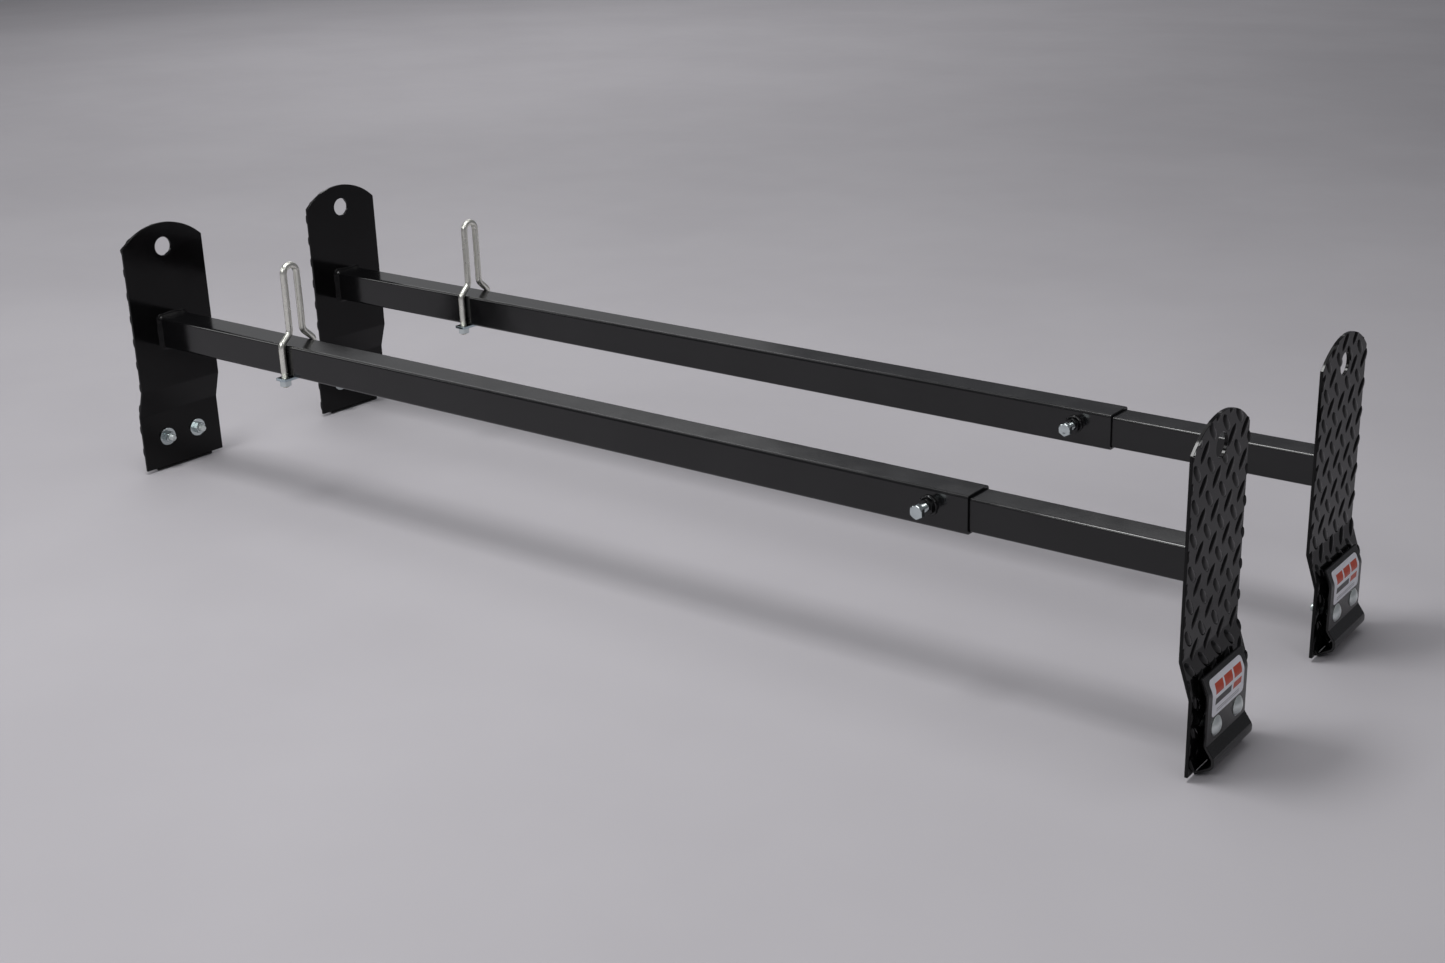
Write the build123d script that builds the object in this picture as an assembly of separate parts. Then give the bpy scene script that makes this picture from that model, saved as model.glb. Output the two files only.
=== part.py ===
"""Gutter-mount ladder rack: two separate telescoping crossbars with a gutter clamp at both ends.

Millimetres. +X runs along the crossbars, from the outer-tube end to the inner-tube end.
+Y runs from the front bar to the rear bar and +Z is up.
The origin is at the bottom centre of the whole rack, level with the gutter hooks' lowest edge.
Each end is drawn in its own end frame: x = 0 on the inner face of the end plate's upper part,
+x outward, y = 0 on the bar's centre line. The left ends mirror the right ends.
"""
import os
from math import cos, radians, tan
from build123d import *

# Layout
SPAN = 1397.0                    # between the inner faces of a bar's two end plates, 55 in
BAR_SPACING = 283.0              # between the two bars' centre lines
BAR_Y = {"front": -BAR_SPACING / 2, "rear": BAR_SPACING / 2}
END_X = {"left": -SPAN / 2, "right": SPAN / 2}

# End plates: tread plate with an arched top and an outward joggle
PLATE_T = 3.2
PLATE_W = 114.3                  # 4 1/2 in
PLATE_BOTTOM = 4.2
SHOULDER_Z = PLATE_BOTTOM + 286.9
PLATE_TOP = PLATE_BOTTOM + 310.4
JOGGLE = 10.7
JOGGLE_TOP_Z = PLATE_BOTTOM + 105.0
JOGGLE_END_Z = PLATE_BOTTOM + 72.0
PLATE_BEND_R = 7.0
TIE_HOLE_R = 11.5
TIE_HOLE_Z = PLATE_BOTTOM + 281.0

# Crossbar tubes, square
TUBE_Z = PLATE_BOTTOM + 175.2
OUTER_SIZE = 38.1                # 1 1/2 in
OUTER_WALL = 2.1
OUTER_LENGTH = 1168.4            # 46 in
OUTER_CORNER_R = 3.2
INNER_SIZE = 33.0
INNER_WALL = 2.1
INNER_LENGTH = 660.0
INNER_CORNER_R = 2.6
WELD_LEG = 5.0
WELD_RIM = 0.3                   # how far the bead still stands off the tube at its thin end

# 5/16 in hardware
SHANK_R = 3.95
THREAD_BORE_R = 4.0
CLEARANCE_HOLE_R = 4.4
NUT_AF = 12.7
NUT_H = 6.75
WASHER_OD = 22.2
WASHER_ID = 9.5
WASHER_T = 1.8
BOLT_LENGTH = 25.4

# Set screw that locks the inner tube, a little above the middle of the outer tube's front face
SET_SCREW_FROM_END = 41.3
SET_SCREW_Z = TUBE_Z + 2.0
SET_SCREW_LENGTH = 19.05
SET_SCREW_HEAD_H = 5.5
SET_SCREW_GAP = 0.3
WELD_NUT_AF = 14.3

# How far a cutting tool runs past the face it cuts
CUT = 1.0

# Gutter clamp, given by the middle of its thickness: a bent strap whose hook tucks under the plate
CLAMP_T = 3.0
CLAMP_W = 82.5                   # 3 1/4 in
CLAMP_FLAT_X = PLATE_T + 17.5
CLAMP_FACE_X = CLAMP_FLAT_X + CLAMP_T / 2
CLAMP_TOP = (PLATE_T + 10.6, PLATE_BOTTOM + 86.4)
CLAMP_SHOULDER_Z = PLATE_BOTTOM + 70.7
CLAMP_WAIST_Z = PLATE_BOTTOM + 25.0
CLAMP_BULGE = (PLATE_T + 25.4, PLATE_BOTTOM + 14.1)
HOOK_ANGLE = radians(30)         # of the hook's tip leg, below horizontal
HOOK_TIP_X = PLATE_T + 9.0
HOOK_TIP_Z = CLAMP_T / 2 * cos(HOOK_ANGLE)
HOOK_HEEL_Z = HOOK_TIP_Z + (CLAMP_BULGE[0] - HOOK_TIP_X) * tan(HOOK_ANGLE)
CLAMP_PATH = [
    CLAMP_TOP,
    (CLAMP_FLAT_X, CLAMP_SHOULDER_Z),
    (CLAMP_FLAT_X, CLAMP_WAIST_Z),
    CLAMP_BULGE,
    (CLAMP_BULGE[0], HOOK_HEEL_Z),
    (HOOK_TIP_X, HOOK_TIP_Z),
]
CLAMP_BEND_R = [10.0, 5.0, 6.0, 6.0]

# Carriage bolts through the clamp and the plate
BOLT_Z = PLATE_BOTTOM + 38.0
BOLT_SPACING = 45.0
BOLT_YS = (-BOLT_SPACING / 2, BOLT_SPACING / 2)
DOME_R = 9.2
DOME_H = 4.4
NECK_AF = 7.9
NECK_L = 4.4
SQUARE_HOLE = 8.3

# Label on the right clamps, bent with the clamp's face
LABEL_T = 0.25
LABEL_W = 66.0
LABEL_TOP_Z = PLATE_BOTTOM + 81.5
LABEL_BOTTOM_Z = PLATE_BOTTOM + 48.5

# Ladder stop: a bent rod loop strapped round the outer tube
STOP_X = {"front": 236.0, "rear": 243.0}     # from the left end plate's inner face
STOP_ROD_R = 3.95
STOP_FIT = 0.3
STOP_LEG_Y = OUTER_SIZE / 2 + STOP_FIT + STOP_ROD_R
STOP_LOOP_R = 9.5                # of the rod's centre line
STOP_LOOP_Z = PLATE_BOTTOM + 290.6 - STOP_ROD_R - STOP_LOOP_R
STOP_KICK_LOW_Z = TUBE_Z + OUTER_SIZE / 2 + 0.4    # the legs' corners, just above the tube
STOP_KICK_HIGH_Z = STOP_KICK_LOW_Z + 12.7
STOP_KICK_R = 9.0
STRAP_X = 16.0
STRAP_Y = 62.0
STRAP_T = 3.0
STRAP_TOP_Z = TUBE_Z - OUTER_SIZE / 2 - STOP_FIT
STRAP_BOTTOM_Z = STRAP_TOP_Z - STRAP_T
STOP_ROD_END_Z = STRAP_BOTTOM_Z - NUT_H - 2.0      # two threads below the nuts


def place(shape, side, bar):
    """Put a shape from the end frame on one end of one bar."""
    if side == "left":
        shape = mirror(shape, about=Plane.YZ)
    return Pos(END_X[side], BAR_Y[bar], 0) * shape


def group(shapes):
    """Separate solids that share one node."""
    return Part() + list(shapes)


def bent_strip(points, radii, thickness, width):
    """A strip bent along a mid-thickness path in the XZ plane."""
    path = FilletPolyline(*[(x, 0, z) for x, z in points], radius=radii)
    section = Plane(origin=path @ 0, x_dir=(0, 1, 0), z_dir=path % 0) * Rectangle(width, thickness)
    return sweep(section, path=path)


def along_x(radius, x0, x1, y, z):
    """A cylinder from x0 to x1."""
    return Pos((x0 + x1) / 2, y, z) * Rot(0, 90, 0) * Cylinder(radius, x1 - x0)


def along_y(radius, y0, y1, x, z):
    """A cylinder from y0 to y1."""
    return Pos(x, (y0 + y1) / 2, z) * Rot(90, 0, 0) * Cylinder(radius, y1 - y0)


def hex_on(plane, across_flats, height):
    """A hexagonal prism that stands on a plane."""
    return extrude(plane * RegularPolygon(across_flats / 2, 6, major_radius=False), height)


def square_tube(size, wall, corner_r, length):
    """A square tube from x = 0 along +X at the crossbars' height."""
    outside = RectangleRounded(size, size, corner_r)
    inside = RectangleRounded(size - 2 * wall, size - 2 * wall, max(corner_r - wall, 0.5))
    return Pos(0, 0, TUBE_Z) * extrude(Plane.YZ * (outside - inside), length)


def end_plate():
    """Joggled plate with an arched top, a tie hole and two bolt holes."""
    mid = PLATE_T / 2
    points = [
        (mid, PLATE_TOP + CUT),
        (mid, JOGGLE_TOP_Z),
        (mid + JOGGLE, JOGGLE_END_Z),
        (mid + JOGGLE, PLATE_BOTTOM),
    ]
    strip = bent_strip(points, [PLATE_BEND_R, PLATE_BEND_R], PLATE_T, PLATE_W)
    half = PLATE_W / 2
    sides = Polyline((-half, SHOULDER_Z), (-half, 0), (half, 0), (half, SHOULDER_Z))
    arch = ThreePointArc((half, SHOULDER_Z), (0, PLATE_TOP), (-half, SHOULDER_Z))
    outline = Plane.YZ * make_face(Curve() + [sides, arch])
    plate = strip & extrude(outline, 2 * JOGGLE, both=True)
    plate -= along_x(TIE_HOLE_R, -CUT, PLATE_T + CUT, 0, TIE_HOLE_Z)
    for y in BOLT_YS:
        plate -= along_x(CLEARANCE_HOLE_R, JOGGLE - CUT, JOGGLE + PLATE_T + CUT, y, BOLT_Z)
    return plate


def plate_weld(size, corner_r):
    """Fillet weld round a square tube on the end plate's inner face."""
    foot_size = size + 2 * WELD_LEG
    rim_size = size + 2 * WELD_RIM
    foot = Plane.YZ * RectangleRounded(foot_size, foot_size, corner_r + WELD_LEG)
    rim = Plane.YZ.offset(-WELD_LEG) * RectangleRounded(rim_size, rim_size, corner_r + WELD_RIM)
    tube = Plane.YZ.offset(-WELD_LEG) * RectangleRounded(size, size, corner_r)
    return Pos(0, 0, TUBE_Z) * (loft([foot, rim]) - extrude(tube, WELD_LEG))


def gutter_clamp():
    """Bent clamp strap with two square holes for the carriage bolts."""
    clamp = bent_strip(CLAMP_PATH, CLAMP_BEND_R, CLAMP_T, CLAMP_W)
    for y in BOLT_YS:
        clamp -= Pos(CLAMP_FLAT_X, y, BOLT_Z) * Box(3 * CLAMP_T, SQUARE_HOLE, SQUARE_HOLE)
    return clamp


def clamp_label():
    """Thin label over the clamp's shoulder, on its outer face."""
    covered = bent_strip(CLAMP_PATH, CLAMP_BEND_R, CLAMP_T + 2 * LABEL_T, LABEL_W)
    bare = bent_strip(CLAMP_PATH, CLAMP_BEND_R, CLAMP_T, LABEL_W + 2 * CUT)
    height = LABEL_TOP_Z - LABEL_BOTTOM_Z
    mid_z = (LABEL_TOP_Z + LABEL_BOTTOM_Z) / 2
    band = Pos(CLAMP_FLAT_X, 0, mid_z) * Box(2 * CLAMP_FLAT_X, LABEL_W, height)
    return ((covered - bare) & band).solids().sort_by(Axis.X)[-1]


def carriage_bolt(y):
    """Domed head outside the clamp, square neck in the clamp, shank through the plate."""
    ball_r = (DOME_R**2 + DOME_H**2) / (2 * DOME_H)
    ball = Pos(CLAMP_FACE_X + DOME_H - ball_r, y, BOLT_Z) * Rot(0, 90, 0) * Sphere(ball_r)
    dome = ball & (Pos(CLAMP_FACE_X + DOME_H, y, BOLT_Z) * Box(2 * DOME_H, 4 * DOME_R, 4 * DOME_R))
    neck = Pos(CLAMP_FACE_X - NECK_L / 2, y, BOLT_Z) * Box(NECK_L, NECK_AF, NECK_AF)
    shank = along_x(SHANK_R, CLAMP_FACE_X - BOLT_LENGTH, CLAMP_FACE_X, y, BOLT_Z)
    return dome + neck + shank


def washer(y):
    """Flat washer on the plate's inner face."""
    ring = along_x(WASHER_OD / 2, JOGGLE - WASHER_T, JOGGLE, y, BOLT_Z)
    return ring - along_x(WASHER_ID / 2, JOGGLE - WASHER_T, JOGGLE, y, BOLT_Z)


def clamp_nut(y):
    """Hex nut on the washer."""
    seat_x = JOGGLE - WASHER_T
    seat = Plane(origin=(seat_x, y, BOLT_Z), x_dir=(0, 0, 1), z_dir=(-1, 0, 0))
    return hex_on(seat, NUT_AF, NUT_H) - along_x(THREAD_BORE_R, seat_x - NUT_H, seat_x, y, BOLT_Z)


def outer_tube():
    """Outer tube with the set screw's hole in its front wall."""
    tube = square_tube(OUTER_SIZE, OUTER_WALL, OUTER_CORNER_R, OUTER_LENGTH)
    screw_x = OUTER_LENGTH - SET_SCREW_FROM_END
    front = -OUTER_SIZE / 2
    return tube - along_y(CLEARANCE_HOLE_R, front - CUT, front + OUTER_WALL + CUT, screw_x, SET_SCREW_Z)


def weld_nut():
    """Nut welded over the set screw's hole, on the outer tube's front face."""
    screw_x = OUTER_LENGTH - SET_SCREW_FROM_END
    front = -OUTER_SIZE / 2
    seat = Plane(origin=(screw_x, front, SET_SCREW_Z), x_dir=(0, 0, 1), z_dir=(0, -1, 0))
    nut = hex_on(seat, WELD_NUT_AF, NUT_H)
    return nut - along_y(THREAD_BORE_R, front - NUT_H, front, screw_x, SET_SCREW_Z)


def set_screw():
    """Hex-head screw whose tip stands just off the inner tube's front face."""
    screw_x = OUTER_LENGTH - SET_SCREW_FROM_END
    tip_y = -INNER_SIZE / 2 - SET_SCREW_GAP
    seat_y = tip_y - SET_SCREW_LENGTH
    seat = Plane(origin=(screw_x, seat_y, SET_SCREW_Z), x_dir=(0, 0, 1), z_dir=(0, -1, 0))
    return hex_on(seat, NUT_AF, SET_SCREW_HEAD_H) + along_y(SHANK_R, seat_y, tip_y, screw_x, SET_SCREW_Z)


def stop_rod():
    """Bent rod: a narrow loop above the tube whose legs kick out and run down both faces."""
    leg = [
        (0, -STOP_LEG_Y, STOP_ROD_END_Z),
        (0, -STOP_LEG_Y, STOP_KICK_LOW_Z),
        (0, -STOP_LOOP_R, STOP_KICK_HIGH_Z),
        (0, -STOP_LOOP_R, STOP_LOOP_Z),
    ]
    front = FilletPolyline(*leg, radius=STOP_KICK_R)
    rear = FilletPolyline(*[(x, -y, z) for x, y, z in reversed(leg)], radius=STOP_KICK_R)
    top = ThreePointArc(leg[-1], (0, 0, STOP_LOOP_Z + STOP_LOOP_R), (0, STOP_LOOP_R, STOP_LOOP_Z))
    path = Wire(front.edges() + top.edges() + rear.edges())
    section = Plane(origin=leg[0], z_dir=(0, 0, 1)) * Circle(STOP_ROD_R)
    return sweep(section, path=path)


def stop_strap():
    """Flat strap under the outer tube with two holes for the rod's legs."""
    strap = Pos(0, 0, STRAP_TOP_Z - STRAP_T / 2) * Box(STRAP_X, STRAP_Y, STRAP_T)
    for y in (-STOP_LEG_Y, STOP_LEG_Y):
        strap -= Pos(0, y, STRAP_TOP_Z) * Cylinder(CLEARANCE_HOLE_R, 4 * STRAP_T)
    return strap


def stop_nut(y):
    """Hex nut under the strap."""
    seat = Plane(origin=(0, y, STRAP_BOTTOM_Z), x_dir=(1, 0, 0), z_dir=(0, 0, -1))
    return hex_on(seat, NUT_AF, NUT_H) - Pos(0, y, STRAP_BOTTOM_Z) * Cylinder(THREAD_BORE_R, 4 * NUT_H)


def end_nodes(side):
    """The pieces at one end of a bar, in the end frame."""
    tube_size, corner_r = (OUTER_SIZE, OUTER_CORNER_R) if side == "left" else (INNER_SIZE, INNER_CORNER_R)
    nodes = {
        "end_plate": end_plate(),
        "plate_weld": plate_weld(tube_size, corner_r),
        "gutter_clamp": gutter_clamp(),
        "carriage_bolts": group([carriage_bolt(y) for y in BOLT_YS]),
        "washers": group([washer(y) for y in BOLT_YS]),
        "nuts": group([clamp_nut(y) for y in BOLT_YS]),
    }
    if side == "right":
        nodes["clamp_label"] = clamp_label()
    return nodes


def bar_nodes():
    """The outer tube's pieces, with x = 0 at the left end plate's inner face."""
    return {"outer_tube": outer_tube(), "weld_nut": weld_nut(), "set_screw": set_screw()}


def stop_nodes():
    """The ladder stop's pieces, centred on x = 0."""
    nuts = group([stop_nut(y) for y in (-STOP_LEG_Y, STOP_LEG_Y)])
    return {"ladder_stop_rod": stop_rod(), "ladder_stop_strap": stop_strap(), "ladder_stop_nuts": nuts}


def rack():
    """Every node of the rack by name."""
    ends = {side: end_nodes(side) for side in END_X}
    bar_pieces = bar_nodes()
    stop_pieces = stop_nodes()
    inner = square_tube(INNER_SIZE, INNER_WALL, INNER_CORNER_R, INNER_LENGTH)
    nodes = {}
    for bar, y in BAR_Y.items():
        for side, pieces in ends.items():
            for name, shape in pieces.items():
                nodes[f"{bar}_{side}_{name}"] = place(shape, side, bar)
        for name, shape in bar_pieces.items():
            nodes[f"{bar}_{name}"] = Pos(END_X["left"], y, 0) * shape
        for name, shape in stop_pieces.items():
            nodes[f"{bar}_{name}"] = Pos(END_X["left"] + STOP_X[bar], y, 0) * shape
        nodes[f"{bar}_inner_tube"] = Pos(END_X["right"] - INNER_LENGTH, y, 0) * inner
    return nodes


os.makedirs("parts", exist_ok=True)
for node, shape in rack().items():
    export_step(shape, f"parts/{node}.step")
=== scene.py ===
"""Looks of the gutter-mount ladder rack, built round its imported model.

The pieces are drawn in millimetres, in the same end frames as the CAD part, and placed in metres.
An end frame has x = 0 on the inner face of the end plate's upper part, +x outward,
y = 0 on the bar's centre line and z = 0 at the gutter hooks' lowest edge.
"""
import math

import bmesh
import bpy
from mathutils import Matrix, Vector, noise


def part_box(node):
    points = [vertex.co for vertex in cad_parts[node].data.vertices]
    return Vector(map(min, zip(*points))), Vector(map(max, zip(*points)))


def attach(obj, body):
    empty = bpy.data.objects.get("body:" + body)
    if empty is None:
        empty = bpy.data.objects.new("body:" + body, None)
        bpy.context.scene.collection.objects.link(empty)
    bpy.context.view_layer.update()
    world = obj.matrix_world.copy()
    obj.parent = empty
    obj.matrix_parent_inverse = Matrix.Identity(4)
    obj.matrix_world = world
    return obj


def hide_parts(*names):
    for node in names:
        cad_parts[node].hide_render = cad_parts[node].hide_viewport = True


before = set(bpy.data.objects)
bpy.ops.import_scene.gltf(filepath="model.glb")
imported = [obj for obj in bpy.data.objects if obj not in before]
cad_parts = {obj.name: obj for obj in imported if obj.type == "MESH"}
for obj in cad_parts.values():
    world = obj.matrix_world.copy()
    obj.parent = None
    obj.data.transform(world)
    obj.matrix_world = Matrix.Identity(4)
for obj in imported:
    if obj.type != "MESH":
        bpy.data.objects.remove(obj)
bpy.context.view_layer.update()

MM = 0.001
TAU = 2 * math.pi
BLACK = "black_powder_coat"       # the record's material slots
SILVER = "zinc_plate"
FILM = "label_film"

# Sizes shared with the CAD part, in millimetres
PLATE_T = 3.2
PLATE_W = 114.3
PLATE_BOTTOM = 4.2
SHOULDER_Z = 291.1
PLATE_TOP = 314.6
JOGGLE = 10.7
JOGGLE_TOP_Z = 109.2
JOGGLE_END_Z = 76.2
PLATE_BEND_R = 7.0
TIE_HOLE_R = 11.5
TIE_HOLE_Z = 285.2
BOLT_HOLE_R = 4.4
TUBE_Z = 179.4
OUTER_SIZE = 38.1
OUTER_WALL = 2.1
OUTER_CORNER_R = 3.2
INNER_SIZE = 33.0
INNER_WALL = 2.1
INNER_CORNER_R = 2.6
WELD_LEG = 5.0
SHANK_R = 3.95
THREAD_PITCH = 1.41
THREAD_DEPTH = 0.8
NUT_AF = 12.7
NUT_H = 6.75
NUT_BORE_R = 4.0
WASHER_R = 11.1
WASHER_BORE_R = 4.75
WASHER_T = 1.8
BOLT_LENGTH = 25.4
BOLT_Z = 42.2
BOLT_YS = (-22.5, 22.5)
DOME_R = 9.2
DOME_H = 4.4
NECK_AF = 7.9
NECK_L = 4.4
CLAMP_T = 3.0
CLAMP_W = 82.5
CLAMP_FACE_X = PLATE_T + 19.0
HOOK_SLOPE = math.tan(math.radians(30))
HOOK_TIP = (PLATE_T + 9.0, CLAMP_T / 2 * math.cos(math.radians(30)))
CLAMP_PATH = [
    HOOK_TIP,
    (PLATE_T + 25.4, HOOK_TIP[1] + 16.4 * HOOK_SLOPE),
    (PLATE_T + 25.4, 18.3),
    (PLATE_T + 17.5, 29.2),
    (PLATE_T + 17.5, 74.9),
    (PLATE_T + 10.6, 90.6),
]
CLAMP_BEND_R = [6.0, 6.0, 5.0, 10.0]
LABEL_T = 0.25
LABEL_W = 66.0
LABEL_Z = (52.7, 85.7)
LABEL_CORNER_R = 4.0
SET_SCREW_FROM_END = 41.3
SET_SCREW_Z = TUBE_Z + 2.0
SET_SCREW_HEAD_H = 5.5
WELD_NUT_AF = 14.3
STOP_LEG_Y = 23.3
STOP_LOOP_R = 9.5
STOP_LOOP_Z = 281.35
STOP_KICK_Z = (198.85, 211.55)
STOP_KICK_R = 9.0
STRAP_X = 16.0
STRAP_Y = 62.0
STRAP_T = 3.0
STRAP_TOP_Z = 160.05
STRAP_BOTTOM_Z = STRAP_TOP_Z - STRAP_T
STOP_ROD_END_Z = 148.3
STOP_THREAD_L = 18.0

# Raised tread lugs on the end plates' outer faces
LUG_LENGTH = 22.5
LUG_WIDTH = 9.0
LUG_HEIGHT = 1.6
LUG_SINK = 0.15                  # how deep a lug's rim sits in the plate
LUG_ROOT = 0.6                   # how deep its closed underside sits
LUG_MARGIN = 0.3                 # how far the lugs stop short of the plate's arched edge
LUG_TILT = math.radians(50)
LUG_PITCH_Y = 27.0
LUG_PITCH_S = 29.2
LUG_START = {"front": (-33.75, 287.95), "rear": (-29.25, 277.95)}   # centre of one rising lug

BARS = ("front", "rear")
SIDES = ("left", "right")


def bar_y(bar):
    """The y of a bar's centre line, in millimetres, from its outer tube."""
    low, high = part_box(f"{bar}_outer_tube")
    return (low.y + high.y) / 2 / MM


def end_x(bar, side):
    """The x of an end plate's upper inner face, in millimetres, from the tube that meets it."""
    if side == "left":
        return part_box(f"{bar}_outer_tube")[0].x / MM
    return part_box(f"{bar}_inner_tube")[1].x / MM


def end_matrix(bar, side):
    """From millimetres in an end frame to metres in the rack's frame."""
    sign = -1 if side == "left" else 1
    place = Matrix.Translation((end_x(bar, side), bar_y(bar), 0))
    return Matrix.Scale(MM, 4) @ place @ Matrix.Diagonal((sign, 1, 1, 1))


def bar_matrix(bar, x):
    """From millimetres about a point on the bar's centre line to metres in the rack's frame."""
    return Matrix.Scale(MM, 4) @ Matrix.Translation((x, bar_y(bar), 0))


# --- Paths and shells -------------------------------------------------------------------------

class BentPath:
    """Straight runs joined by round corners in a plane, measured along their length."""

    def __init__(self, points, radii):
        points = [Vector(p) for p in points]
        self.pieces = []
        start = points[0]
        for i, radius in enumerate(radii, 1):
            before = points[i] - points[i - 1]
            after = points[i + 1] - points[i]
            heading = math.atan2(before.y, before.x)
            turn = math.atan2(before.x * after.y - before.y * after.x, before.dot(after))
            tangent = radius * math.tan(abs(turn) / 2)
            corner_start = points[i] - before.normalized() * tangent
            self._add((corner_start - start).length, start, heading, 0.0)
            self._add(radius * abs(turn), corner_start, heading, math.copysign(1 / radius, turn))
            start = points[i] + after.normalized() * tangent
        last = points[-1] - start
        self._add(last.length, start, math.atan2(last.y, last.x), 0.0)
        self.length = sum(piece[0] for piece in self.pieces)

    def _add(self, length, start, heading, curvature):
        self.pieces.append((length, start, heading, curvature))

    def at(self, s, offset=0.0):
        """The point at length s, offset to the right of the way the path runs."""
        for n, (length, start, heading, curvature) in enumerate(self.pieces):
            if s <= length or n == len(self.pieces) - 1:
                break
            s -= length
        turned = heading + curvature * s
        if curvature:
            x = start.x + (math.sin(turned) - math.sin(heading)) / curvature
            y = start.y + (math.cos(heading) - math.cos(turned)) / curvature
        else:
            x = start.x + s * math.cos(heading)
            y = start.y + s * math.sin(heading)
        return x + offset * math.sin(turned), y - offset * math.cos(turned)

    def stations(self, step=math.radians(6)):
        """Lengths at the ends of every run and at small steps round every corner."""
        found, s = [0.0], 0.0
        for length, _, _, curvature in self.pieces:
            count = max(1, math.ceil(abs(curvature) * length / step))
            found += [s + length * (k + 1) / count for k in range(count)]
            s += length
        return found

    def find(self, height):
        """The length at which the path's second coordinate reaches a height."""
        low, high = 0.0, self.length
        for _ in range(40):
            middle = (low + high) / 2
            if self.at(middle)[1] < height:
                low = middle
            else:
                high = middle
        return low


def skin(rings, closed=False):
    """Quads between closed rings of points. The ends are capped unless the rings close up."""
    count = len(rings[0])
    verts = [point for ring in rings for point in ring]
    faces = []
    for r in range(len(rings) if closed else len(rings) - 1):
        a, b = r * count, (r + 1) % len(rings) * count
        faces += [(a + i, a + (i + 1) % count, b + (i + 1) % count, b + i) for i in range(count)]
    if not closed:
        faces.append(tuple(reversed(range(count))))
        faces.append(tuple(range(len(verts) - count, len(verts))))
    return verts, faces


def joined(*shells):
    """Several shells as one."""
    verts, faces = [], []
    for more_verts, more_faces in shells:
        base = len(verts)
        verts += more_verts
        faces += [tuple(base + i for i in face) for face in more_faces]
    return verts, faces


def moved(shell, matrix):
    """A shell with a matrix applied."""
    return [matrix @ Vector(v) for v in shell[0]], shell[1]


def facing(origin, direction, up=(0, 0, 1)):
    """Local z along a direction and local x near up, from an origin."""
    z = Vector(direction).normalized()
    x = (Vector(up) - z * z.dot(Vector(up))).normalized()
    y = z.cross(x)
    return Matrix.Translation(origin) @ Matrix((x, y, z)).transposed().to_4x4()


def turned(profile, segments=48, closed=True):
    """A shell turned about local z. profile(angle) gives the (radius, height) points at an angle."""
    columns = [profile(TAU * k / segments) for k in range(segments)]
    rings = []
    for row in range(len(columns[0])):
        ring = []
        for k, column in enumerate(columns):
            r, h = column[row]
            ring.append((r * math.cos(TAU * k / segments), r * math.sin(TAU * k / segments), h))
        rings.append(ring)
    return skin(rings, closed)


def rounded_rectangle(width, height, radius, steps=4):
    """Points of a rounded rectangle about the origin."""
    points = []
    for quarter, (sx, sy) in enumerate(((1, 1), (-1, 1), (-1, -1), (1, -1))):
        for k in range(steps + 1):
            a = (quarter + k / steps) * math.pi / 2
            x = sx * (width / 2 - radius) + radius * math.cos(a)
            y = sy * (height / 2 - radius) + radius * math.sin(a)
            points.append((x, y))
    return points


def hex_radius(angle, across_flats):
    """The distance from a hexagon's centre to its side, with a corner at angle 0."""
    return across_flats / 2 / math.cos(angle % (TAU / 6) - TAU / 12)


# --- Sub-part shapes --------------------------------------------------------------------------

def hex_nut(across_flats=NUT_AF, height=NUT_H, bore=NUT_BORE_R):
    """Nut from z = 0 up, with both faces chamfered to a circle."""
    ring_r = across_flats / 2 * 0.96
    mouth = 0.5

    def profile(angle):
        corner = hex_radius(angle, across_flats)
        drop = (corner - ring_r) * 0.55
        return [
            (bore, mouth), (bore + mouth, 0), (ring_r, 0), (corner, drop),
            (corner, height - drop), (ring_r, height), (bore + mouth, height), (bore, height - mouth),
        ]
    return turned(profile)


def hex_head(height, across_flats=NUT_AF):
    """Screw head from z = 0 up: washer face below, chamfered corners and a shallow dish above."""
    ring_r = across_flats / 2 * 0.95

    def profile(angle):
        corner = hex_radius(angle, across_flats)
        drop = (corner - ring_r) * 0.6
        return [
            (0.1, 0), (ring_r * 0.97, 0), (ring_r * 0.97, 0.35), (corner, 0.45), (corner, height - drop),
            (ring_r, height), (ring_r * 0.72, height), (ring_r * 0.6, height - 0.35), (0.1, height - 0.4),
        ]
    return turned(profile, closed=False)


def washer():
    """Flat washer from z = 0 up, with its stamped edges eased."""
    edge = 0.3
    rim = [(WASHER_BORE_R, edge), (WASHER_BORE_R + edge, 0), (WASHER_R - edge, 0), (WASHER_R, edge)]
    back = [(WASHER_R, WASHER_T - edge), (WASHER_R - edge, WASHER_T)]
    back += [(WASHER_BORE_R + edge, WASHER_T), (WASHER_BORE_R, WASHER_T - edge)]
    return turned(lambda angle: rim + back)


def threaded_rod(length, hand=1):
    """Rod from z = 0 up whose surface is a rolled thread, with a chamfered far end."""
    segments, per_turn = 24, 8
    step = THREAD_PITCH / per_turn
    count = round(length / step)
    chamfer = 1.0
    rings = []
    for n in range(count + 1):
        z = length * n / count
        limit = SHANK_R - max(0.0, chamfer - (length - z))
        ring = []
        for k in range(segments):
            phase = (z / THREAD_PITCH - hand * k / segments) % 1
            crest = min(1.0, 1.45 * (1 - abs(2 * phase - 1)))
            r = min(limit, SHANK_R - THREAD_DEPTH * (1 - crest))
            ring.append((r * math.cos(TAU * k / segments), r * math.sin(TAU * k / segments), z))
        rings.append(ring)
    return skin(rings)


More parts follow.
